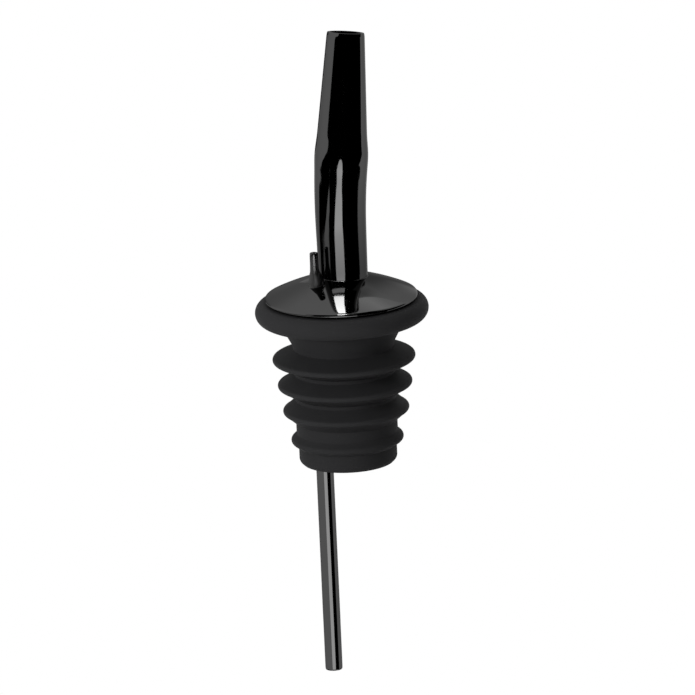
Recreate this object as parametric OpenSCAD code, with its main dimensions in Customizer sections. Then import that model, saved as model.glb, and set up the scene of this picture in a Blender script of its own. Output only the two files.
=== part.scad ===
// Liquor pourer: a bent metal spout on a domed cap, with a breather tube and a finned rubber stopper.
// Millimetres. Z = 0 is the flange's underside, which rests on the bottle's rim, and +Z runs up the stopper's axis.
// The spout leans to +X, the pouring side, and the breather tube stands at -X.

/* [Stopper] */
// Diameter of the flange that rests on the bottle's rim
flange_d = 30; // [28:0.5:34]
// Thickness of the flange, whose rim is a full round
flange_t = 3.7; // [3.6:0.1:4.6]
// Rubber wall over the sleeve, between the fins
core_wall = 1.4; // [1.2:0.05:2]
// Rubber wall round the sleeve's rolled edge, at the plain nose below the last bead
nose_wall = 0.6; // [0.5:0.05:1]
// Depth from the flange's underside to the end of the nose
plug_depth = 25.2; // [24.4:0.2:30]
// Diameter of the topmost fin
top_fin_d = 24.7; // [23:0.1:26]
// Diameter of the lowest fin
low_fin_d = 21.8; // [20.5:0.1:23]
// Depth of the topmost fin's rim
top_fin_depth = 6.6; // [6:0.1:7.2]
// Spacing of the fins along the axis
fin_pitch = 4.6; // [4.2:0.1:4.9]
// Thickness of a fin at its rim
fin_rim_t = 1; // [0.8:0.1:1.3]
// Thickness of a fin at the core
fin_root_t = 4; // [2.4:0.1:4.1]
// Diameter of the low bead under the fins
bead_d = 19.4; // [18.8:0.1:20]
// Depth of the bead
bead_depth = 21; // [20.6:0.1:21.6]
// Fillet between the flange and the core
flange_fillet = 1.5; // [1:0.1:2]

/* [Cap] */
// Diameter over the cap's rolled edge
cap_d = 26.4; // [25:0.2:27.6]
// Thickness of the cap's sheet
cap_t = 0.6; // [0.5:0.05:0.8]
// Slope of the dome at its edge, in degrees
cap_edge_slope = 26.5; // [25:0.5:28]
// Radius of the dome's own curve
cap_curve_r = 45; // [40:1:55]
// Height of the collar's top over the flange's underside
collar_top_z = 8.4; // [8.2:0.1:9.2]
// Wall of the collar round the spout's foot
collar_t = 0.35; // [0.3:0.05:0.6]
// Radius of the hollow flare under the collar
flare_r = 1.2; // [1:0.1:1.5]

/* [Spout] */
// Outside diameter at the foot
foot_d = 8.5; // [8.2:0.1:8.8]
// Outside diameter through the bend
bend_d = 9; // [8.9:0.05:9.2]
// Outside diameter at the shoulder, the widest place
shoulder_d = 9.3; // [9.25:0.05:9.6]
// Outside diameter past the shoulder, where the straight taper starts
neck_d = 8.6; // [8.4:0.05:8.8]
// Outside diameter at the tip
tip_d = 6.5; // [6:0.1:7]
// Wall of the tube
spout_t = 0.5; // [0.4:0.05:0.6]
// Lean of the upper part, in degrees
lean = 5.8; // [4:0.2:9]
// Height at which the bend starts
bend_z = 17; // [16:0.5:18]
// Length of the bend along the tube
bend_l = 9; // [8:0.5:11]
// Length from the bend to the shoulder
shoulder_l = 3; // [2.5:0.5:4]
// Length over which the shoulder draws in to the straight taper
neck_l = 4.2; // [3:0.2:5]
// Length from the shoulder to the tip
taper_l = 22.1; // [18:0.1:26]
// Extra slant of the tip's cut towards the pouring side, in degrees
tip_slant = 5; // [0:0.5:8]

/* [Breather tube] */
// Outside diameter of the breather tube
air_d = 3; // [2.8:0.05:3]
// Wall of the breather tube
air_t = 0.4; // [0.3:0.05:0.5]
// Depth of the tube's open end below the flange
air_depth = 61.5; // [50:0.5:80]
// Height at which the tube starts to round in
air_shoulder_z = 8.3; // [8.2:0.1:9.6]
// Outside diameter of the vent nozzle
nozzle_d = 1.25; // [1.2:0.05:1.5]
// Bore of the vent nozzle
nozzle_bore = 0.6; // [0.5:0.05:0.7]
// Height of the nozzle's end
nozzle_top_z = 13.2; // [12:0.1:14]
// Distance of the nozzle from the tube's own axis, outwards
nozzle_shift = 0.4; // [0.2:0.05:0.5]

/* [Sleeve] */
// Outside diameter of the tail tube that carries the stopper
sleeve_d = 14.6; // [13.2:0.1:15.6]
// Wall of the tail tube
sleeve_t = 0.45; // [0.4:0.05:0.5]
// Radius of the rolled edge at the lower end
roll_r = 0.45; // [0.4:0.05:0.5]
// Distance of the sleeve's end above the end of the nose
sleeve_inset = 0.2; // [0:0.1:0.6]

/* [Fits] */
// Gap all round between the sleeve and the stopper, which turns on it
swivel_gap = 0.05; // [0.02:0.01:0.1]
// Gap between the cap's edge and the flange, and between the rolled edge and its seat
seat_gap = 0.1; // [0.05:0.01:0.2]
// Gap between the breather tube and the sleeve's inner wall
air_gap = 0.05; // [0.05:0.01:0.3]
// Metal left between the holes for the spout's foot and for the breather tube
hole_web = 0.2; // [0.15:0.05:0.5]

/* [Hidden] */
$fn = 96;
// A cut runs this far past the face that it opens
past = 1;
// Steps in a rounded corner of a turned outline
steps = 10;

// Sleeve and the seat of its rolled edge
sleeve_r = sleeve_d / 2;
nose_z = -plug_depth;
sleeve_end_z = nose_z + sleeve_inset;
roll_z = sleeve_end_z + roll_r;
roll_at = sleeve_r - sleeve_t + roll_r;
seat_r = roll_at + roll_r + seat_gap;
seat_z = roll_z + roll_r + seat_gap;

// The core stands round the sleeve, and the nose round its rolled edge, by the rubber's own walls
bore_r = sleeve_r + swivel_gap;
core_d = 2 * (bore_r + core_wall);
nose_d = 2 * (seat_r + nose_wall);
core_r = core_d / 2;
nose_r = nose_d / 2;
nose_edge = 1;
rim_r = flange_t / 2;
fins = 3;
fin_rim_r = fin_rim_t / 2;
bead_rim_r = 0.65;
bead_root_t = 2.4;

// Distance of the breather tube from the stopper's axis, close inside the sleeve's wall
air_r = sleeve_r - sleeve_t - air_gap - air_d / 2;
air_in_r = air_d / 2 - air_t;
nozzle_foot_z = air_shoulder_z + air_d / 12;

// Offset of the spout's foot from the stopper's axis, towards the pouring side, clear of the tube
foot_r = foot_d / 2;
spout_x = foot_r + hole_web - (air_r - air_d / 2);

edge_r = 0.42;
edge_at = cap_d / 2 - edge_r;
edge_z = flange_t + seat_gap + edge_r;
// Centre of the dome's curve, from its slope at the rolled edge, which the outer face meets on top
dome_x = edge_at - (cap_curve_r - edge_r) * sin(cap_edge_slope);
dome_z = edge_z - (cap_curve_r - edge_r) * cos(cap_edge_slope);

// Height of the dome's outer face, or of a face that lies t under it, at a distance from the stopper's axis
function dome_face(r, t = 0) = dome_z + sqrt(pow(cap_curve_r - t, 2) - pow(r - dome_x, 2));

// The spout's foot reaches through the cap's sheet, by this much where the dome is lowest
foot_below = 0.25;
foot_z = dome_face(spout_x + foot_r, cap_t) - foot_below;

collar_r = foot_r + collar_t;
collar_land = 0.25;
flare_turn = 56;
sweep_z = collar_top_z - collar_land;
flare_end = collar_r + flare_r * (1 - cos(flare_turn));
// The collar reaches half-way into the sheet where the dome is lowest
collar_foot_z = min(sweep_z - flare_r * sin(flare_turn), dome_face(spout_x + flare_end) - cap_t / 2);

bend_r = bend_l / (lean * PI / 180);
// The bend's wall is thicker by this on each side, too little to see
bend_seam = 0.02;

// Points of an arc about [x, z], from angle a to angle b
function arc(x, z, r, a, b, n = steps) =
    [for (i = [0:n]) [x + r * cos(a + (b - a) * i / n), z + r * sin(a + (b - a) * i / n)]];

function fin_r(i) = (top_fin_d + (low_fin_d - top_fin_d) * i / (fins - 1)) / 2;
function fin_z(i) = -(top_fin_depth + fin_pitch * i);

// Outline of one fin or bead, from the core's surface above it to the core's surface below it:
// straight flanks that thin towards a rounded rim
function fin_outline(z, r, rim, root) =
    concat([[core_r, z + root / 2]],
           arc(r - rim, z, rim, 80, -80),
           [[core_r, z - root / 2]]);

stopper_outline = concat(
    [[bore_r, flange_t]],
    arc(flange_d / 2 - rim_r, rim_r, rim_r, 90, -90, 2 * steps),
    arc(core_r + flange_fillet, -flange_fillet, flange_fillet, 90, 180),
    fin_outline(fin_z(0), fin_r(0), fin_rim_r, fin_root_t),
    fin_outline(fin_z(1), fin_r(1), fin_rim_r, fin_root_t),
    fin_outline(fin_z(2), fin_r(2), fin_rim_r, fin_root_t),
    [[core_r, -bead_depth + bead_root_t / 2]],
    arc(bead_d / 2 - bead_rim_r, -bead_depth, bead_rim_r, 65, -65),
    [[nose_r, -bead_depth - bead_root_t / 2]],
    arc(nose_r - nose_edge, nose_z + nose_edge, nose_edge, 0, -60),
    [[seat_r, nose_z], [seat_r, seat_z], [bore_r, seat_z]]);

// Rubber plug turned as one piece, with a step in its bore that the sleeve's rolled edge sits under
module stopper() {
    color([0.09, 0.09, 0.09])
    rotate_extrude()
    polygon(stopper_outline);
}

// Everything on the hollow side of the dome's inner face
module under_dome() {
    translate([dome_x, dome_z])
    circle(cap_curve_r - cap_t, $fn = 240);
}

// Section of the dome's sheet with its rolled edge
module dome_section() {
    intersection() {
        difference() {
            translate([dome_x, dome_z])
            circle(cap_curve_r, $fn = 240);
            under_dome();
        }
        translate([foot_r - spout_x - past, edge_z - past])
        square([edge_at - foot_r + spout_x + past, collar_top_z - edge_z + 2 * past]);
    }
    translate([edge_at, edge_z])
    circle(edge_r);
}

// Section of the collar round the spout's foot: an upright lip that sweeps out into the dome
module collar_section() {
    polygon(concat(
        [[foot_r - past, collar_top_z], [collar_r, collar_top_z]],
        arc(collar_r + flare_r, sweep_z, flare_r, 180, 180 + flare_turn),
        [[flare_end, collar_foot_z], [foot_r - past, collar_foot_z]]));
}

// Pressed dome with its collar, drilled for the spout and for the breather tube
module cap() {
    color([0.30, 0.30, 0.31])
    difference() {
        union() {
            rotate_extrude()
            dome_section();
            translate([spout_x, 0, 0])
            rotate_extrude()
            collar_section();
        }
        translate([spout_x, 0, 0])
        cylinder(r = foot_r, h = collar_top_z + past);
        translate([-air_r, 0, 0])
        cylinder(d = air_d, h = collar_top_z + past);
    }
}

// Lower part of the spout, thinner by t all round
module spout_lower(t, extra) {
    translate([0, 0, foot_z - extra])
    cylinder(r1 = foot_r - t, r2 = foot_r - t, h = collar_top_z - foot_z + extra);
    translate([0, 0, collar_top_z])
    cylinder(r1 = foot_r - t, r2 = bend_d / 2 - t, h = bend_z - collar_top_z);
}

// Bend of the spout: part of a ring that lies in the pouring plane
module spout_bend(t) {
    translate([bend_r, 0, bend_z])
    rotate([90, 0, 0])
    rotate([0, 0, 180 - lean])
    rotate_extrude(angle = lean)
    translate([bend_r, 0])
    circle(bend_d / 2 - t);
}

// Places its children on the leaning axis, at the end of the bend
module past_bend() {
    translate([bend_r, 0, bend_z])
    rotate([0, lean, 0])
    translate([-bend_r, 0, 0])
    children();
}

// Smooth curve of radius over length: from radius a, which changes by slope da, to radius b with slope db
function draw_in(a, da, b, db, l, u) =
    (2 * pow(u, 3) - 3 * pow(u, 2) + 1) * a + (pow(u, 3) - 2 * pow(u, 2) + u) * l * da
    + (3 * pow(u, 2) - 2 * pow(u, 3)) * b + (pow(u, 3) - pow(u, 2)) * l * db;

// Upper part of the spout, turned about its leaning axis: a swell to the shoulder, a neck that draws in, a long taper
module spout_upper(t, extra) {
    swell = (bend_d - foot_d) / 2 / (bend_z - collar_top_z);
    taper = (tip_d - neck_d) / 2 / (taper_l - neck_l);
    past_bend()
    rotate_extrude()
    polygon(concat(
        [[0, 0]],
        [for (i = [0:4]) [draw_in(bend_d / 2, swell, shoulder_d / 2, 0, shoulder_l, i / 4) - t, shoulder_l * i / 4]],
        [for (i = [1:6]) [draw_in(shoulder_d / 2, 0, neck_d / 2, taper, neck_l, i / 6) - t,
                          shoulder_l + neck_l * i / 6]],
        [[tip_d / 2 - t, shoulder_l + taper_l]],
        extra > 0 ? [[tip_d / 2 - t, shoulder_l + taper_l + extra]] : [],
        [[0, shoulder_l + taper_l + extra]]));
}

// The spout as a full body, thinner by t all round, with a fine seam at each end of the bend
module spout_body(t, seam, extra = 0) {
    spout_lower(t, extra);
    spout_bend(t - seam);
    spout_upper(t, extra);
}

// Bent and tapered tube, cut off at the tip with a small slant
module pour_spout() {
    color([0.32, 0.32, 0.33])
    translate([spout_x, 0, 0])
    difference() {
        spout_body(0, bend_seam);
        spout_body(spout_t, -bend_seam, past);
        past_bend()
        translate([0, 0, shoulder_l + taper_l - tan(tip_slant) * tip_d / 2])
        rotate([0, tip_slant, 0])
        translate([-tip_d, -tip_d, 0])
        cube([2 * tip_d, 2 * tip_d, tip_d]);
    }
}

// Tail tube, fitted to the dome's inner face at the top and rolled outwards at its lower end
module sleeve() {
    color([0.34, 0.34, 0.35])
    rotate_extrude() {
        intersection() {
            translate([sleeve_r - sleeve_t, roll_z])
            square([sleeve_t, collar_top_z - roll_z]);
            under_dome();
        }
        translate([roll_at, roll_z])
        circle(roll_r);
    }
}

// Breather tube, rounded in at the top to a narrow nozzle on its outer side
module air_tube() {
    color([0.36, 0.36, 0.37])
    translate([-air_r, 0, 0])
    difference() {
        union() {
            rotate_extrude()
            polygon(concat(
                [[0, air_shoulder_z], [air_in_r, air_shoulder_z], [air_in_r, -air_depth]],
                [[air_d / 2, -air_depth]],
                arc(0, air_shoulder_z, air_d / 2, 0, 90)));
            translate([-nozzle_shift, 0, nozzle_foot_z])
            cylinder(d = nozzle_d, h = nozzle_top_z - nozzle_foot_z);
        }
        translate([-nozzle_shift, 0, air_shoulder_z - past])
        cylinder(d = nozzle_bore, h = nozzle_top_z - air_shoulder_z + 2 * past);
    }
}

stopper();
cap();
pour_spout();
sleeve();
air_tube();
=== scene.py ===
from math import atan, cos, degrees, pi, radians, sin, sqrt, tan

import bpy
from mathutils import Matrix, Vector


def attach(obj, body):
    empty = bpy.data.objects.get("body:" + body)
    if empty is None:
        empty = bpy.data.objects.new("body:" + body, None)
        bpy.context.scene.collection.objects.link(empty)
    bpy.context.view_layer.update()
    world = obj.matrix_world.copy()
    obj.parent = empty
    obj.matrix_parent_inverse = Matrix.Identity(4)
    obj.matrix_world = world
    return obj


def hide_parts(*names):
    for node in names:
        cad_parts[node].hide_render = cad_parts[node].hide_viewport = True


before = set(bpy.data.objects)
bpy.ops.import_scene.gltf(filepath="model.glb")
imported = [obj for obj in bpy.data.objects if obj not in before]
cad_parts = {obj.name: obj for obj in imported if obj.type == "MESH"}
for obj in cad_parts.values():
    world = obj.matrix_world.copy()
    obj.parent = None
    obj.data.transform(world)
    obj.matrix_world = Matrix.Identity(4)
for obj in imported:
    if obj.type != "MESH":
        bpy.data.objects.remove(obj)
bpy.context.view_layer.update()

MM = 0.001
# Points closer than this, in millimetres, are at the same place
NEAR = 0.001

# Sizes of the real pourer in millimetres and degrees. Z = 0 is the flange's underside, +X the pouring side.
# Stopper
FLANGE_D, FLANGE_T, FLANGE_FILLET, CONE_W, CONE_L = 30, 3.7, 0.8, 2.15, 4.06
CORE_R, NOSE_R, NOSE_Z, NOSE_EDGE = 8.75, 8.45, -25.2, 1
BORE_R, SEAT_R, SEAT_Z = 7.35, 7.85, -24
FIN_R, FIN_Z = (12.35, 11.625, 10.9), (-6.6, -11.2, -15.8)
FIN_RIM_R, FIN_ROOT = 0.5, 4
BEAD_R, BEAD_Z, BEAD_RIM_R, BEAD_ROOT = 9.7, -21, 0.65, 2.4
# Cap: its dome, its curled edge, and the braze at the seam with the spout
DOME_R, DOME_X, DOME_Z, CAP_T = 45, -7.111, -35.676, 0.35
EDGE_AT, EDGE_Z, EDGE_R, EDGE_SLOPE, CURL_END = 12.78, 4.22, 0.42, 26.5, -150
SEAM_R, SEAM_Z, FILLET = 4.27, 7.6, 0.06
# Spout: heights, radii and wall, lengths along the leaning part, and the mouth with its drawn-in lip
SPOUT_X, FOOT_Z, SWELL_Z, BEND_Z, BEND_L, LEAN = 0.65, 6.82, 8.4, 17, 9, 5.8
FOOT_R, BEND_END_R, SHOULDER_R, NECK_R, TIP_R, SPOUT_T = 4.25, 4.55, 4.65, 4.3, 3.25, 0.5
FOOT_SLOPE, SWELL_SLOPE = 0.01, 0.025
SHOULDER_L, NECK_L, TAPER_L = 3, 4.2, 22.1
TIP_SLANT, TIP_SKEW, TIP_LOWER, LIP_SHARE, LIP_L = 4.5, 4.6, 0.06, 0.974, 0.75
# Breather tube and its nozzle
AIR_X, AIR_R, AIR_BORE_R, AIR_END, AIR_EDGE, AIR_LEAN = -5.3, 1.5, 1.1, -61.5, 0.12, -16
AIR_BORE_TOP, AIR_SHOULDER, NOZZLE_FOOT, NOZZLE_TOP = 7.4, 8.5, 10.1, 13.2
NOZZLE_X, NOZZLE_R, NOZZLE_BORE_R = -5.6, 0.75, 0.3
# Sleeve
SLEEVE_R, SLEEVE_T, SLEEVE_TOP, ROLL_Z, ROLL_R = 7.3, 0.45, 6.3, -24.55, 0.45


def arc(x, z, r, start, end, steps=10):
    """Points of an arc in a section, angles in degrees."""
    turns = [radians(start + (end - start) * i / steps) for i in range(steps + 1)]
    return [(x + r * cos(t), z + r * sin(t)) for t in turns]


def dome_height(r):
    """Height of the cap's outer face at a distance from the stopper's axis."""
    return DOME_Z + sqrt(DOME_R ** 2 - (r - DOME_X) ** 2)


def draw_in(a, slope_a, b, slope_b, length, part):
    """Radius part of the way along a smooth stretch of tube, between two radii with their slopes."""
    u, uu, uuu = part, part ** 2, part ** 3
    return ((2 * uuu - 3 * uu + 1) * a + (uuu - 2 * uu + u) * length * slope_a
            + (3 * uu - 2 * uuu) * b + (uuu - uu) * length * slope_b)


def start_piece(name):
    """Names the primitive that was just added and opens it for editing, all selected."""
    piece = bpy.context.object
    piece.name = piece.data.name = name
    bpy.ops.object.transform_apply(location=True, rotation=True, scale=True)
    bpy.ops.object.mode_set(mode="EDIT")
    bpy.ops.mesh.select_all(action="SELECT")
    return piece


def end_piece(piece, angle=35):
    """Merges doubled points, turns the faces outwards and leaves edit mode, shaded smooth."""
    bpy.ops.mesh.select_all(action="SELECT")
    bpy.ops.mesh.remove_doubles(threshold=1e-6)
    bpy.ops.mesh.normals_make_consistent(inside=False)
    bpy.ops.object.mode_set(mode="OBJECT")
    bpy.ops.object.shade_smooth_by_angle(angle=radians(angle))
    return piece


def pick(piece, wanted):
    """Opens a piece for editing with only the points selected whose place, in millimetres, is wanted."""
    bpy.ops.object.mode_set(mode="EDIT")
    bpy.ops.mesh.select_all(action="DESELECT")
    bpy.ops.object.mode_set(mode="OBJECT")
    for v in piece.data.vertices:
        v.select = wanted(v.co / MM)
    bpy.ops.object.mode_set(mode="EDIT")


def cut_across(at, way, clears):
    """Cuts the piece that is open for editing along a plane, and may clear what lies past it."""
    bpy.ops.mesh.select_all(action="SELECT")
    bpy.ops.mesh.bisect(plane_co=at * MM, plane_no=way, clear_outer=clears, threshold=1e-7)


def apply_modifier(piece, kind, **settings):
    """Adds a modifier with its settings and applies it."""
    change = piece.modifiers.new(kind.title(), kind)
    for key, value in settings.items():
        setattr(change, key, value)
    bpy.ops.object.modifier_apply(modifier=change.name)


def turned(name, outline, steps=192, closed=True):
    """A piece turned on the lathe: a section drawn point by point in the XZ plane, its ends joined where it
    is closed, then spun round Z."""
    bpy.ops.object.select_all(action="DESELECT")
    bpy.ops.mesh.primitive_plane_add(size=MM)
    piece = start_piece(name)
    bpy.ops.mesh.merge(type="CENTER")
    at = Vector((0, 0, 0))
    for i, (x, z) in enumerate(outline):
        to = Vector((x * MM, 0, z * MM))
        if i == 0:
            bpy.ops.transform.translate(value=to - at)
        else:
            bpy.ops.mesh.extrude_vertices_move(TRANSFORM_OT_translate={"value": to - at})
        at = to
    if closed:
        ends = [Vector((x, 0, z)) for x, z in (outline[0], outline[-1])]
        pick(piece, lambda at: min((at - end).length for end in ends) < NEAR)
        bpy.ops.mesh.edge_face_add()
    bpy.ops.mesh.select_all(action="SELECT")
    bpy.ops.mesh.spin(steps=steps, angle=2 * pi, center=(0, 0, 0), axis=(0, 0, 1))
    return end_piece(piece)


def drawn_tube(name, rings, sides):
    """A tube drawn ring by ring and left open for editing. A ring is its centre's x and z, its radius, and
    its lean towards +X in degrees."""
    x, z, r, lean = rings[0]
    bpy.ops.object.select_all(action="DESELECT")
    bpy.ops.mesh.primitive_circle_add(
        vertices=sides, radius=r * MM, location=(x * MM, 0, z * MM), rotation=(0, radians(lean), 0))
    piece = start_piece(name)
    for x2, z2, r2, lean2 in rings[1:]:
        middle = (x2 * MM, 0, z2 * MM)
        bpy.ops.mesh.extrude_edges_move(
            TRANSFORM_OT_translate={"value": ((x2 - x) * MM, 0, (z2 - z) * MM)})
        bpy.ops.transform.resize(value=(r2 / r,) * 3, center_override=middle)
        if lean2 != lean:
            bpy.ops.transform.rotate(
                value=-radians(lean2 - lean), orient_axis="Y", center_override=middle)
        x, z, r, lean = x2, z2, r2, lean2
    return piece


def rubber_stopper():
    """Moulded plug: flange with a full round rim on a short cone, three thinning fins, a low bead and a plain
    nose."""
    rim = FLANGE_T / 2
    cone = atan(CONE_W / CONE_L)
    fillet_r = CORE_R + CONE_W + FLANGE_FILLET * tan(pi / 4 - cone / 2)
    outline = [(BORE_R, FLANGE_T)]
    outline += arc(FLANGE_D / 2 - rim, rim, rim, 90, -90, 24)
    outline += arc(fillet_r, -FLANGE_FILLET, FLANGE_FILLET, 90, 180 - degrees(cone))
    outline += [(CORE_R, -CONE_L)]
    for r, z in zip(FIN_R, FIN_Z):
        outline += [(CORE_R, z + FIN_ROOT / 2)]
        outline += arc(r - FIN_RIM_R, z, FIN_RIM_R, 80, -80, 12)
        outline += [(CORE_R, z - FIN_ROOT / 2)]
    outline += [(CORE_R, BEAD_Z + BEAD_ROOT / 2)]
    outline += arc(BEAD_R - BEAD_RIM_R, BEAD_Z, BEAD_RIM_R, 65, -65)
    outline += [(NOSE_R, BEAD_Z - BEAD_ROOT / 2)]
    outline += arc(NOSE_R - NOSE_EDGE, NOSE_Z + NOSE_EDGE, NOSE_EDGE, 0, -60)
    outline += [(SEAT_R, NOSE_Z), (SEAT_R, SEAT_Z), (BORE_R, SEAT_Z)]
    return turned("stopper_rubber", outline)


def pouring_spout():
    """Bent tube: upright foot, a long soft bend that swells to a swaged shoulder, and a long taper to a
    slanted mouth."""
    bend_r = BEND_L / radians(LEAN)
    lower_l = BEND_Z - SWELL_Z + BEND_L
    rings = [(SPOUT_X, FOOT_Z, FOOT_R, 0), (SPOUT_X, SWELL_Z, FOOT_R, 0)]
    for part in (0.08, 0.16, 0.24, 0.32, 0.4, 0.49, 0.58, 0.67, 0.76, 0.84, 0.92, 1):
        risen = lower_l * part
        turn = max(0, risen - BEND_Z + SWELL_Z) / bend_r
        r = draw_in(FOOT_R, FOOT_SLOPE, BEND_END_R, SWELL_SLOPE, lower_l, part)
        rings.append((SPOUT_X + bend_r * (1 - cos(turn)), min(SWELL_Z + risen, BEND_Z) + bend_r * sin(turn),
                      r, degrees(turn)))
    end_x, end_z = rings[-1][0], rings[-1][1]
    taper = (TIP_R - NECK_R) / (TAPER_L - NECK_L)
    # The last ring lies past the mouth, where a cut takes it off
    spare_l = 1.5
    for along in (1, 2, SHOULDER_L, 3.7, 4.4, 5.1, 5.8, 6.5, SHOULDER_L + NECK_L, 8.2, 9.6, 12, 16, 20, 23,
                  SHOULDER_L + TAPER_L + spare_l):
        past = along - SHOULDER_L
        if past <= 0:
            r = draw_in(BEND_END_R, SWELL_SLOPE, SHOULDER_R, 0, SHOULDER_L, along / SHOULDER_L)
        elif past <= NECK_L:
            r = draw_in(SHOULDER_R, 0, NECK_R, taper, NECK_L, past / NECK_L)
        else:
            r = NECK_R + taper * (past - NECK_L)
        rings.append((end_x + along * sin(radians(LEAN)), end_z + along * cos(radians(LEAN)), r, LEAN))
    piece = drawn_tube("pour_spout_plated", rings, 64)
    bpy.ops.object.mode_set(mode="OBJECT")
    apply_modifier(piece, "SUBSURF", levels=2, render_levels=2)
    # The mouth is cut nearly square to the leaning tube, a little down towards the pouring side and askew.
    # Cuts below it give the lip its rings, and the wall stays on for a little past it until it is thick
    left_on = 0.4
    length = SHOULDER_L + TAPER_L - tan(radians(TIP_SLANT)) * TIP_R - TIP_LOWER
    slant = radians(LEAN + TIP_SLANT)
    cut = Vector((sin(slant), tan(radians(TIP_SKEW)), cos(slant))).normalized()
    mouth = Vector((end_x + length * sin(radians(LEAN)), 0, end_z + length * cos(radians(LEAN))))
    bpy.ops.object.mode_set(mode="EDIT")
    for part in (1, 0.8, 0.6, 0.4, 0.2, 0):
        cut_across(mouth - cut * LIP_L * part, cut, False)
    cut_across(mouth + cut * left_on, cut, True)
    bpy.ops.object.mode_set(mode="OBJECT")
    # The lip is drawn in
    pick(piece, lambda at: (at - mouth).dot(cut) > -5 * NEAR)
    bpy.ops.transform.resize(value=(LIP_SHARE,) * 3, center_override=mouth * MM, use_proportional_edit=True,
                             proportional_edit_falloff="SHARP", proportional_size=LIP_L * MM)
    end_piece(piece)
    apply_modifier(piece, "SOLIDIFY", thickness=SPOUT_T * MM, offset=-1)
    # The finished wall is faced off flat
    bpy.ops.object.mode_set(mode="EDIT")
    cut_across(mouth, cut, True)
    bpy.ops.object.mode_set(mode="OBJECT")
    pick(piece, lambda at: abs((at - mouth).dot(cut)) < NEAR)
    bpy.ops.mesh.bridge_edge_loops()
    return end_piece(piece)


def pressed_cap():
    """Pressed dome: a small fillet of braze drawn up to the spout's foot, and an edge curled under onto the
    flange."""
    # The dome's form, which the sheet is pressed down on, reaches a little past the cap's edge
    form_inner, form_outer, form_steps = 0.05, 13.25, 80
    form_r = [form_inner + (form_outer - form_inner) * i / form_steps for i in range(form_steps + 1)]
    form = turned("dome_form", [(r, dome_height(r)) for r in form_r], closed=False)
    last_r = EDGE_AT + EDGE_R * sin(radians(EDGE_SLOPE))
    steps = (0, 0.005, 0.015, 0.03, 0.045, FILLET, 0.1, 0.2, 0.5, 1.2, 2.2, 3.5, 5, 6.5, 7.7, 8.2,
             last_r - SEAM_R)
    # The sheet starts flat, well above the form. Its rings begin round the spout's foot and end round the
    # stopper's axis
    sheet_z = 20
    rings = []
    for out in steps:
        part = out / steps[-1]
        rings.append((SPOUT_X * (1 - part), sheet_z, SEAM_R + out, 0))
    piece = drawn_tube("cap_plated", rings, 128)
    bpy.ops.object.mode_set(mode="OBJECT")
    apply_modifier(piece, "SHRINKWRAP", target=form, wrap_method="PROJECT", use_project_z=True,
                   use_negative_direction=True, use_positive_direction=False)
    bpy.data.objects.remove(form)
    # Ring by ring, the fillet is drawn up out of the dome to the spout's foot
    for out in steps[:steps.index(FILLET)]:
        middle = Vector((SPOUT_X * (1 - out / steps[-1]), 0))
        pick(piece, lambda at: abs((at.xy - middle).length - SEAM_R - out) < NEAR)
        rise = FILLET - sqrt(FILLET ** 2 - (FILLET - out) ** 2)
        bpy.ops.transform.translate(value=(0, 0, rise * MM))
    # The curl under the edge
    pick(piece, lambda at: at.xy.length > last_r - 10 * NEAR)
    r, z = last_r, EDGE_Z + EDGE_R * cos(radians(EDGE_SLOPE))
    for r2, z2 in arc(EDGE_AT, EDGE_Z, EDGE_R, 90 - EDGE_SLOPE, CURL_END)[1:]:
        bpy.ops.mesh.extrude_edges_move(TRANSFORM_OT_translate={"value": (0, 0, (z2 - z) * MM)})
        bpy.ops.transform.resize(value=(r2 / r, r2 / r, 1), center_override=(0, 0, 0))
        r, z = r2, z2
    end_piece(piece)
    apply_modifier(piece, "SUBSURF", levels=1, render_levels=1)
    apply_modifier(piece, "SOLIDIFY", thickness=CAP_T * MM, offset=-1)
    bpy.ops.object.mode_set(mode="EDIT")
    return end_piece(piece)


def tail_sleeve():
    """Tail tube under the cap, its lower edge rolled outwards to hold the rubber on."""
    inner = SLEEVE_R - SLEEVE_T
    outline = [(inner, SLEEVE_TOP), (SLEEVE_R, SLEEVE_TOP)]
    outline += arc(inner + ROLL_R, ROLL_Z, ROLL_R, 90, -180, 16)
    return turned("sleeve_plated", outline, 128)


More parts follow.
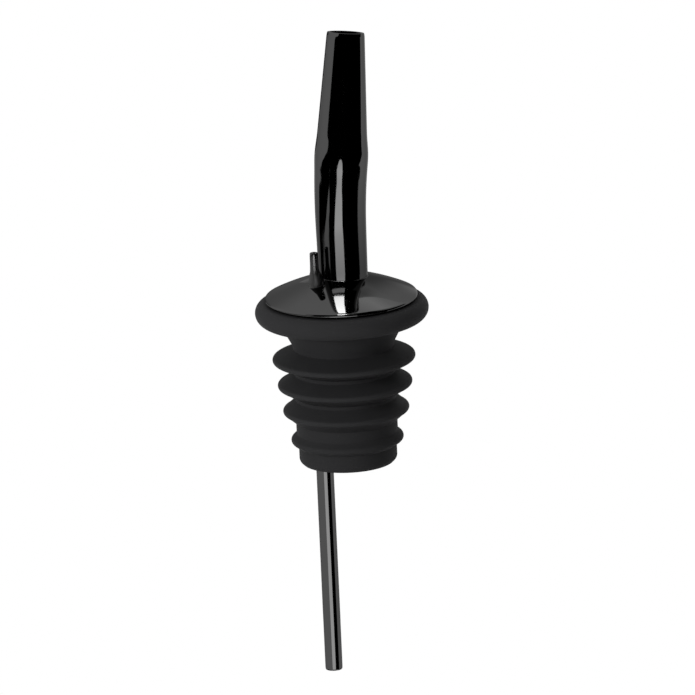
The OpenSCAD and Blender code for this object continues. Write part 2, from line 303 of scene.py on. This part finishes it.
def breather_tube():
    """Long thin tube, brazed in the dome and drawn in at the top to a narrow vent nozzle. The rings go down
    its bore, up its outside and down the nozzle's bore to where they began."""
    bore = [(AIR_BORE_TOP, AIR_BORE_R), (4, AIR_BORE_R), (AIR_END + 1, AIR_BORE_R),
            (AIR_END + AIR_EDGE, AIR_BORE_R)]
    lower_end = [(AIR_END, AIR_BORE_R + AIR_EDGE), (AIR_END, AIR_R - AIR_EDGE)]
    outside = [(AIR_END + AIR_EDGE, AIR_R), (AIR_END + 1, AIR_R), (-30, AIR_R), (4, AIR_R), (6.6, AIR_R)]
    rings = [(AIR_X, z, r, 0) for z, r in bore + lower_end + outside]
    # The braze draws up a small fillet where the tube leaves the sloping dome
    rings += [(AIR_X, 7.3, AIR_R + 0.12, AIR_LEAN), (AIR_X, 7.62, AIR_R - 0.04, AIR_LEAN),
              (AIR_X, 8, AIR_R - 0.16, AIR_LEAN / 2)]
    # The shoulder moves over to the nozzle as it narrows
    rings += [(AIR_X - 0.02, AIR_SHOULDER, AIR_R - 0.24, 0), (AIR_X - 0.08, 9, AIR_R - 0.36, 0),
              (AIR_X - 0.18, 9.4, 1, 0), (AIR_X - 0.25, 9.7, 0.86, 0)]
    nozzle = [(NOZZLE_FOOT, NOZZLE_R + 0.03), (10.8, NOZZLE_R), (NOZZLE_TOP - 0.3, NOZZLE_R),
              (NOZZLE_TOP - 0.05, NOZZLE_R - 0.03), (NOZZLE_TOP, NOZZLE_R - 0.12)]
    nozzle_bore = [(NOZZLE_TOP, NOZZLE_BORE_R + 0.06), (NOZZLE_TOP - 0.1, NOZZLE_BORE_R),
                   (NOZZLE_TOP - 2, NOZZLE_BORE_R), (NOZZLE_FOOT, NOZZLE_BORE_R + 0.05)]
    rings += [(NOZZLE_X, z, r, 0) for z, r in nozzle + nozzle_bore]
    # Inside the shoulder, the nozzle's bore widens to the tube's
    rings += [(AIR_X - 0.2, 9.4, 0.62, 0), (AIR_X - 0.04, 8.6, 0.9, 0), (AIR_X, AIR_BORE_TOP, AIR_BORE_R, 0)]
    piece = end_piece(drawn_tube("breather_tube_plated", rings, 48))
    apply_modifier(piece, "SUBSURF", levels=2, render_levels=2)
    bpy.ops.object.mode_set(mode="EDIT")
    return end_piece(piece, 60)


def linear(code):
    """An sRGB hex colour as the linear values that a shader takes."""
    parts = [int(code[i:i + 2], 16) / 255 for i in (1, 3, 5)]
    return [c / 12.92 if c <= 0.04045 else ((c + 0.055) / 1.055) ** 2.4 for c in parts] + [1]


def add_node(tree, kind, settings=(), **links):
    """Adds a node. settings are its own values. links are its sockets, by name or as i and their number: a
    value, or another node's output."""
    n = tree.nodes.new(kind)
    for key, value in dict(settings).items():
        setattr(n, key, value)
    for key, value in links.items():
        numbered = key[0] == "i" and key[1:].isdigit()
        socket = n.inputs[int(key[1:]) if numbered else key.replace("_", " ")]
        if isinstance(value, bpy.types.NodeSocket):
            tree.links.new(value, socket)
        else:
            socket.default_value = value
    return n


def new_material(name):
    """An empty material with its tree and its output."""
    material = bpy.data.materials.new(name)
    material.use_nodes = True
    material.node_tree.nodes.clear()
    return material, material.node_tree, add_node(material.node_tree, "ShaderNodeOutputMaterial")


def black_chrome(name, line_stretch, seam=None):
    """Steel, polished and plated with black chrome: a dark neutral mirror, with a faint veil of polishing
    lines and of fingers, and hardly brighter where it is seen at a low angle. Near the seam another tone is
    mixed in, which may also be duller: on the breather tube a braze tone, on the spout a darker tone that is
    painted shade towards its foot. seam is how far up and down from there, in millimetres, that starts and
    ends, then its tone and the roughness that it adds."""
    material, tree, output = new_material(name)
    place = add_node(tree, "ShaderNodeTexCoord").outputs["Object"]
    # Finger smudges about 7 mm across
    smudge = add_node(tree, "ShaderNodeTexNoise", Vector=place, Scale=1 / (7 * MM), Detail=3.0,
                      Roughness=0.55)
    # Polishing lines 0.05 mm apart on the real piece, drawn 0.35 mm apart so that they show
    along = add_node(tree, "ShaderNodeMapping", Vector=place, Scale=line_stretch)
    lines = add_node(tree, "ShaderNodeTexNoise", Vector=along.outputs["Vector"], Scale=1 / (0.35 * MM),
                     Detail=2.0)
    veil = add_node(tree, "ShaderNodeMapRange", Value=smudge.outputs["Fac"], i1=0.35, i2=0.7,
                    i3=0.025, i4=0.055)
    rough = add_node(tree, "ShaderNodeMath", {"operation": "MULTIPLY_ADD"},
                     i0=lines.outputs["Fac"], i1=0.02, i2=veil.outputs["Result"])
    tone = add_node(tree, "ShaderNodeMix", {"data_type": "RGBA"}, i0=smudge.outputs["Fac"],
                    i6=linear("#4b4b4b"), i7=linear("#505050"))
    colour, dull = tone.outputs[2], rough.outputs["Value"]
    if seam:
        # On the spout this mixes in painted shade, darker towards its foot; on the breather tube a lighter
        # braze tone
        near, far, braze_and_shade_tone, haze = seam
        height = add_node(tree, "ShaderNodeSeparateXYZ", Vector=place).outputs["Z"]
        above = add_node(tree, "ShaderNodeMath", {"operation": "SUBTRACT"}, i0=height, i1=SEAM_Z * MM)
        off = add_node(tree, "ShaderNodeMath", {"operation": "ABSOLUTE"}, i0=above.outputs["Value"])
        braze_and_shade_mask = add_node(tree, "ShaderNodeMapRange", Value=off.outputs["Value"], i1=near * MM, i2=far * MM,
                        i3=1.0, i4=0.0)
        colour = add_node(tree, "ShaderNodeMix", {"data_type": "RGBA"}, i0=braze_and_shade_mask.outputs["Result"],
                          i6=colour, i7=linear(braze_and_shade_tone)).outputs[2]
        dull = add_node(tree, "ShaderNodeMath", {"operation": "MULTIPLY_ADD"},
                        i0=braze_and_shade_mask.outputs["Result"], i1=haze, i2=dull).outputs["Value"]
    relief = add_node(tree, "ShaderNodeBump", Strength=0.02, Distance=0.02 * MM, Height=lines.outputs["Fac"])
    shader = add_node(tree, "ShaderNodeBsdfPrincipled", Base_Color=colour, Metallic=1.0,
                      Roughness=dull, Normal=relief.outputs["Normal"], Specular_Tint=(0.52, 0.52, 0.52, 1))
    tree.links.new(shader.outputs["BSDF"], output.inputs["Surface"])
    return material


def moulded_rubber(name):
    """Black synthetic rubber from a blasted mould: soft dull black, fine grain, pale dust, and rims rubbed
    greyer by bottle necks."""
    material, tree, output = new_material(name)
    place = add_node(tree, "ShaderNodeTexCoord").outputs["Object"]
    # Mould grain 0.08 mm on the real piece, drawn at 0.3 mm so that it shows
    grain = add_node(tree, "ShaderNodeTexNoise", Vector=place, Scale=1 / (0.3 * MM), Detail=2.0)
    # Bloom and handling marks about 6 mm across
    bloom = add_node(tree, "ShaderNodeTexNoise", Vector=place, Scale=1 / (6 * MM), Detail=4.0, Roughness=0.6)
    # Dust specks about 0.2 mm wide and 0.9 mm apart
    dust = add_node(tree, "ShaderNodeTexVoronoi", Vector=place, Scale=1 / (0.9 * MM))
    speck = add_node(tree, "ShaderNodeMapRange", Value=dust.outputs["Distance"], i1=0.16, i2=0.06,
                     i3=0.0, i4=0.5)
    # Distance from the axis, less the radius that the fins' rims have at that height
    parts = add_node(tree, "ShaderNodeSeparateXYZ", Vector=place)
    flat = add_node(tree, "ShaderNodeCombineXYZ", X=parts.outputs["X"], Y=parts.outputs["Y"])
    reach = add_node(tree, "ShaderNodeVectorMath", {"operation": "LENGTH"}, i0=flat.outputs["Vector"])
    slope = (FIN_R[0] - FIN_R[2]) / (FIN_Z[0] - FIN_Z[2])
    rim_r = add_node(tree, "ShaderNodeMath", {"operation": "MULTIPLY_ADD"}, i0=parts.outputs["Z"], i1=slope,
                     i2=(FIN_R[0] - slope * FIN_Z[0]) * MM)
    past = add_node(tree, "ShaderNodeMath", {"operation": "SUBTRACT"},
                    i0=reach.outputs["Value"], i1=rim_r.outputs["Value"])
    rubbed = add_node(tree, "ShaderNodeMapRange", Value=past.outputs["Value"], i1=-0.7 * MM, i2=-0.05 * MM)
    black = add_node(tree, "ShaderNodeMix", {"data_type": "RGBA"}, i0=bloom.outputs["Fac"],
                     i6=linear("#2e2e2f"), i7=linear("#363637"))
    worn = add_node(tree, "ShaderNodeMath", {"operation": "MULTIPLY"}, i0=rubbed.outputs["Result"], i1=0.3)
    grey = add_node(tree, "ShaderNodeMix", {"data_type": "RGBA"}, i0=worn.outputs["Value"],
                    i6=black.outputs[2], i7=linear("#3f3f40"))
    fleck = add_node(tree, "ShaderNodeMath", {"operation": "MULTIPLY"},
                     i0=speck.outputs["Result"], i1=bloom.outputs["Fac"])
    colour = add_node(tree, "ShaderNodeMix", {"data_type": "RGBA"}, i0=fleck.outputs["Value"],
                      i6=grey.outputs[2], i7=linear("#464645"))
    rough = add_node(tree, "ShaderNodeMapRange", Value=bloom.outputs["Fac"], i1=0.3, i2=0.7, i3=0.58, i4=0.74)
    relief = add_node(tree, "ShaderNodeBump", Strength=0.25, Distance=0.04 * MM, Height=grain.outputs["Fac"])
    shader = add_node(tree, "ShaderNodeBsdfPrincipled", Base_Color=colour.outputs[2],
                      Roughness=rough.outputs["Result"], Normal=relief.outputs["Normal"],
                      Specular_IOR_Level=0.05)
    tree.links.new(shader.outputs["BSDF"], output.inputs["Surface"])
    return material


stopper, spout, cap = rubber_stopper(), pouring_spout(), pressed_cap()
sleeve, air_tube = tail_sleeve(), breather_tube()

# The spout and the breather tube were polished lengthwise, the cap and the sleeve as they turned
lengthwise, round_and_round = (1, 1, 0.04), (0.06, 0.06, 1)
# The spout's seam tone is painted shade that darkens it towards its foot; the breather tube's is a lighter,
# duller braze tone
spout_foot_painted_shade, tube_seam = (1.4, 19, "#3a3a3a", 0.0), (1.2, 7.5, "#5a5a5a", 0.45)
stopper.data.materials.append(moulded_rubber("synthetic_rubber_moulded"))
spout.data.materials.append(black_chrome("black_chrome_spout_polished", lengthwise, spout_foot_painted_shade))
cap.data.materials.append(black_chrome("black_chrome_cap_polished", round_and_round))
sleeve.data.materials.append(black_chrome("black_chrome_sleeve_polished", round_and_round))
air_tube.data.materials.append(black_chrome("black_chrome_tube_drawn", lengthwise, tube_seam))

for piece, body, node_name, slot in (
        (stopper, "plug", "stopper", "rubber"),
        (spout, "metalwork", "pour_spout", "black_chrome_spout"),
        (cap, "metalwork", "cap", "black_chrome_cap"),
        (sleeve, "metalwork", "sleeve", "black_chrome_sleeve"),
        (air_tube, "metalwork", "air_tube", "black_chrome_tube")):
    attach(piece, body)
    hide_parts(node_name)

# Camera: slightly above the pourer, which leans a little to the left in the picture. Lengths are in metres
# from here on
TURN, RAISE, ROLL = radians(-38.5), radians(15.5), radians(2.6)
DISTANCE, VIEW_WIDTH = 5, 0.11983
AIM_RIGHT, AIM_UP = 0.000897, -0.004741
side = Vector((cos(TURN), sin(TURN), 0))
ahead = Vector((-sin(TURN), cos(TURN), 0))
up = Vector((0, 0, 1))
sight = ahead * cos(RAISE) - up * sin(RAISE)
upright = ahead * sin(RAISE) + up * cos(RAISE)
picture_right = side * cos(ROLL) - upright * sin(ROLL)
picture_up = side * sin(ROLL) + upright * cos(ROLL)
aim = picture_right * AIM_RIGHT + picture_up * AIM_UP
camera = bpy.data.objects.new("camera", bpy.data.cameras.new("camera"))
bpy.context.scene.collection.objects.link(camera)
camera.data.lens = camera.data.sensor_width * DISTANCE / VIEW_WIDTH
camera.matrix_world = Matrix.Translation(aim - sight * DISTANCE) @ Matrix(
    (picture_right, picture_up, -sight)).transposed().to_4x4()
bpy.context.scene.camera = camera


def way_to(bearing, height):
    """The way from the pourer to a place in the studio, by its degrees to the right of the camera and over
    the horizon."""
    bearing, height = radians(bearing), radians(height)
    return (side * sin(bearing) - ahead * cos(bearing)) * cos(height) + up * sin(height)


# A soft box left of the camera. The metal mirrors the cards below instead of it
LAMP_BEARING, LAMP_HEIGHT, LAMP_AWAY, LAMP_SIZE, LAMP_WATTS = -48, 14, 0.7, 0.22, 2.2
lamp_way = way_to(LAMP_BEARING, LAMP_HEIGHT)
lamp = bpy.data.objects.new("soft_box", bpy.data.lights.new("soft_box", "AREA"))
bpy.context.scene.collection.objects.link(lamp)
lamp.data.shape, lamp.data.size, lamp.data.energy = "DISK", LAMP_SIZE, LAMP_WATTS
lamp.location = lamp_way * LAMP_AWAY
lamp.rotation_euler = lamp_way.to_track_quat("Z", "Y").to_euler()
lamp.visible_glossy = False


def studio_card(name, rows, glow, away=0.5, fades=False):
    """A curved studio card about half a metre from the pourer, mirrored in the metal and lighting nothing
    else. A row is a height over the horizon and the card's two edges there, to the right of the camera, all
    in degrees. glow is one brightness, or one for each row. Of two cards that overlap, the nearer one is
    seen."""
    bpy.ops.object.select_all(action="DESELECT")
    bpy.ops.mesh.primitive_grid_add(x_subdivisions=24, y_subdivisions=len(rows) - 1, size=1)
    card = start_piece(name)
    bpy.ops.object.mode_set(mode="OBJECT")
    glows = card.data.attributes.new("glow", "FLOAT", "POINT")
    for v in card.data.vertices:
        row = round((v.co.y + 0.5) * (len(rows) - 1))
        height, left, right = rows[row]
        glows.data[v.index].value = glow[row] if isinstance(glow, tuple) else glow
        v.co = way_to(left + (right - left) * (v.co.x + 0.5), height) * away
    material, tree, output = new_material(name)
    level = add_node(tree, "ShaderNodeAttribute", {"attribute_name": "glow"}).outputs["Fac"]
    if fades:
        # Fades to the white of the surroundings at its two sides
        place = add_node(tree, "ShaderNodeTexCoord").outputs["UV"]
        across = add_node(tree, "ShaderNodeSeparateXYZ", Vector=place)
        inwards = add_node(tree, "ShaderNodeMath", {"operation": "PINGPONG"}, i0=across.outputs["X"], i1=0.5)
        level = add_node(tree, "ShaderNodeMapRange", {"interpolation_type": "SMOOTHSTEP"},
                         Value=inwards.outputs["Value"], i1=0.0, i2=0.25, i3=1.0, i4=level).outputs["Result"]
    shine = add_node(tree, "ShaderNodeEmission", Color=(1, 1, 1, 1), Strength=level)
    tree.links.new(shine.outputs["Emission"], output.inputs["Surface"])
    card.data.materials.append(material)
    card.visible_camera = card.visible_diffuse = card.visible_shadow = False
    return card


def columns(rows, left, right):
    """The rows of a card, from a table of edges: each row's height and two of its edges."""
    return [(row[0], row[left], row[right]) for row in rows]


# The strip and the curtains beside it meet edge to edge, so they share these rows: the height, then from left
# to right the two edges of the far left curtain, those of the near left one, and the right edges of the strip
# and of the right curtain
LOW_ROWS = (
    (-16.6, -126, -110, -63, -32.4, 9, 93), (-15.4, -125, -105, -62, -32.4, 9, 90),
    (-14.9, -123, -96, -60, -31.4, 7, 85), (-14.4, -120, -80, -57, -29.5, 6.6, 82),
    (-12.9, -115, -70.4, -56, -26.6, 6.8, 90), (-11.2, -111, -64.5, -51, -24, 6.8, 92),
    (-9.2, -110, -58.7, -50.4, -20.4, 4.4, 95), (-8.1, -108, -55.5, -50.4, -18.6, 4.1, 97.6),
    (-7.5, -101.5, -53.5, -50.6, -17.4, 3.9, 98.5), (-6.8, -95, -51, -51, -15.9, 3.7, 98.5))
# Higher up, one curtain is left of the strip, which ends in a point
HIGH_ROWS = ((-4, -88, -11.2, 1.6, 97), (-1.7, -81.5, -8, -0.5, 99), (-0.8, -80, -4, -4, 104))
# Lower down, the breather tube mirrors only the strip and the curtain to its right
TUBE_ROWS = ((-30, -18, 23, 74), (-17.8, -18, 23, 74))
studio_card("low_light_strip", columns(TUBE_ROWS, 1, 2) + columns(LOW_ROWS, 4, 5) + columns(HIGH_ROWS, 2, 3),
            (3.5, 3.5, 3.6, 3.6, 4.2, 4.5, 4.2, 3.9, 3.5, 3.3, 3.2, 3.1, 3, 3, 3))
studio_card("dark_curtain_right",
            columns(TUBE_ROWS, 2, 3) + columns(LOW_ROWS, 5, 6) + columns(HIGH_ROWS, 3, 4), 0.0)
studio_card("dark_curtain_far_left", columns(LOW_ROWS, 1, 2), 0.0)
studio_card("dark_curtain_near_left", columns(LOW_ROWS, 3, 4), 0.0)
studio_card("dark_curtain_mid_left", columns(LOW_ROWS[-1:], 1, 4) + columns(HIGH_ROWS, 1, 2), 0.0)
studio_card("dark_curtain_high", (
    (-0.8, -80, 104), (0, -78.5, 105), (3.3, -73.5, 107), (4.5, -71, 108), (5.6, -68, 110), (6.4, -66, 110),
    (7.8, -64, 110), (9, -63, 111), (12, -56, 112), (15, -48, 112), (30, -44, 112), (49, -75, 60),
    (57, -75, 40)), 0.0)
studio_card("dark_curtain_top", (
    (49, 40, 100), (57, 36, 100), (66, 22, 140), (78, 20, 150), (88, 20, 150)), 0.0)
studio_card("dark_curtain_behind", (
    (32, 167, 180), (36, 166, 180), (40, 165.3, 180), (46, 166, 180), (50, 165.5, 180), (56, 165.3, 180),
    (61, 163.5, 180), (65, 161, 180), (72, 158, 180)), 0.0, 0.486)
studio_card("back_shade", (
    (-22, 150, 186), (-9, 160, 186), (0, 166, 188), (10, 165, 190), (20, 161.5, 192), (30, 158.5, 192),
    (36, 156, 192), (40, 155, 192), (50, 155, 190), (60, 157, 190), (68, 158, 190)),
    (0.08, 0.12, 0.2, 0.25, 0.36, 0.45, 0.58, 0.68, 0.5, 0.7, 1.0), fades=True)
studio_card("back_shade_left", (
    (-22, 180, 202), (-8.5, 180, 203), (-6, 181, 212), (3, 182, 230), (12, 190, 226), (20, 192, 224),
    (35, 192, 222), (45, 190, 220)), (0.05, 0.08, 0.11, 0.28, 0.52, 0.7, 0.9, 1.0), 0.495)
studio_card("back_light", (
    (36, 138, 150), (42, 138, 154), (46, 138, 156.5), (50, 138, 159.5), (54, 138, 163), (58, 138, 168),
    (64, 138, 172), (75, 138, 178)), (1.0, 1.25, 1.3, 1.5, 1.65, 1.5, 1.25, 1.0), 0.49)
# Curtains near the floor, which the tubes mirror when they are seen from higher up
for i, left in enumerate((-20, 70, 150, 250)):
    studio_card("dark_curtain_low_%d" % (i + 1), (
        (-70, left, left + 40), (-50, left, left + 45), (-36, left, left + 50)), 0.0, 0.36)
lamp_cards = [
    studio_card("lamp_front", ((54.6, -70, 7), (60, -68, 8), (66, -70, 15), (75, -75, 14)), 215.0, 0.49),
    studio_card("lamp_front_edge", ((48.8, -75, 12), (52.2, -75, 8)), 27.0, 0.49)]
edge_card = studio_card("lamp_on_cap_edge", ((79, -22, 22), (87, -60, 60)), 60.0, 0.488)
# The lamp's image shows in the spout, in the dome where it mirrors the spout, and once more in the cap's edge
for mirror, cards in ((spout, lamp_cards), (cap, [edge_card])):
    group = bpy.data.collections.new("lamp_shown_in_" + mirror.name)
    group.objects.link(mirror)
    for card in cards:
        card.light_linking.receiver_collection = group


def pale_surround(tree, plain, output, glow_kind):
    """White to the camera and in the metal, and the plain shader to everything else."""
    path = add_node(tree, "ShaderNodeLightPath")
    shown = add_node(tree, "ShaderNodeMath", {"operation": "ADD", "use_clamp": True},
                     i0=path.outputs["Is Camera Ray"], i1=path.outputs["Is Glossy Ray"])
    shown = add_node(tree, "ShaderNodeMath", {"operation": "ADD", "use_clamp": True},
                     i0=shown.outputs["Value"], i1=path.outputs["Is Transmission Ray"])
    white = add_node(tree, glow_kind, Color=(1, 1, 1, 1), Strength=1.0)
    choice = add_node(tree, "ShaderNodeMixShader",
                      i0=shown.outputs["Value"], i1=plain.outputs[0], i2=white.outputs[0])
    tree.links.new(choice.outputs["Shader"], output.inputs["Surface"])


world = bpy.data.worlds.new("studio")
bpy.context.scene.world = world
world.use_nodes = True
world.node_tree.nodes.clear()
pale_surround(world.node_tree,
              add_node(world.node_tree, "ShaderNodeBackground", Color=(1, 1, 1, 1), Strength=0.34),
              add_node(world.node_tree, "ShaderNodeOutputWorld"), "ShaderNodeBackground")

# Pale floor, far enough below that no shadow reaches the picture
FLOOR_WIDTH, FLOOR_Z = 8, -0.35
bpy.ops.object.select_all(action="DESELECT")
bpy.ops.mesh.primitive_plane_add(size=FLOOR_WIDTH, location=(0, 0, FLOOR_Z))
floor = start_piece("pale_floor")
bpy.ops.mesh.subdivide(number_cuts=4)
bpy.ops.object.mode_set(mode="OBJECT")
paint, paint_tree, paint_output = new_material("matt_white_paint")
pale_surround(paint_tree, add_node(paint_tree, "ShaderNodeBsdfDiffuse", Color=linear("#e6e6e6")),
              paint_output, "ShaderNodeEmission")
floor.data.materials.append(paint)

bpy.context.scene.view_settings.view_transform = "Standard"
